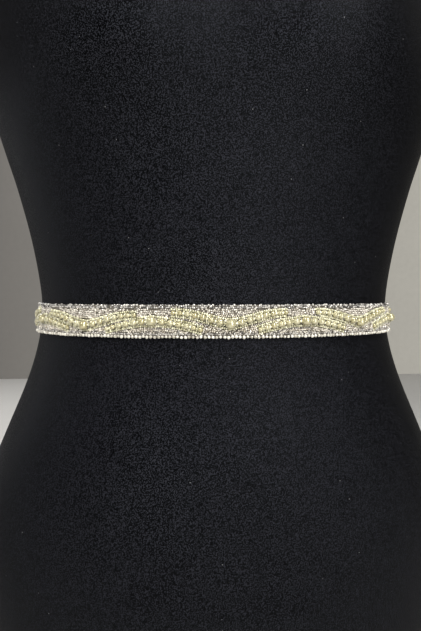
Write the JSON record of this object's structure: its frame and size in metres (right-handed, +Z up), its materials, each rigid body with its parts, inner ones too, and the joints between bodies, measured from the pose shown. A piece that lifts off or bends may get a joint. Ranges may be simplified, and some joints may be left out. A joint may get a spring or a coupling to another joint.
{
  "type": "beaded belt on a limbless dress form",
  "caption": "Pearl and seed bead sash belt, hooked at the back, round the waist of a limbless dress form covered in black jersey.",
  "frame": {"origin": "on the surface that the base plate rests on, under the middle of the part's width and depth", "axes": "+Z up, the wearer's front faces -Y, +X across the belt"},
  "size_m": [0.3544, 0.2362, 0.7046],
  "materials": {
    "black_jersey": "matte rib knit",
    "black_board": "satin",
    "beaded_cloth": "covered in seed beads",
    "ivory_pearl": "pearl lustre",
    "silver_wire": "polished"
  },
  "bodies": {
    "root": {"form_torso": "black_jersey", "base_plate": "black_board", "neck_cap": "black_board", "belt_band": "beaded_cloth", "pearl_arc_01": "ivory_pearl", "pearl_arc_02": "ivory_pearl", "pearl_arc_03": "ivory_pearl", "pearl_arc_04": "ivory_pearl", "pearl_arc_05": "ivory_pearl", "pearl_arc_06": "ivory_pearl", "pearl_arc_07": "ivory_pearl", "pearl_arc_08": "ivory_pearl", "pearl_arc_09": "ivory_pearl", "pearl_arc_10": "ivory_pearl", "pearl_arc_11": "ivory_pearl", "pearl_arc_12": "ivory_pearl", "pearl_arc_13": "ivory_pearl", "pearl_arc_14": "ivory_pearl", "pearl_arc_15": "ivory_pearl", "upper_eye": "silver_wire", "lower_eye": "silver_wire", "upper_hook": "silver_wire", "lower_hook": "silver_wire"}
  },
  "joints": []
}
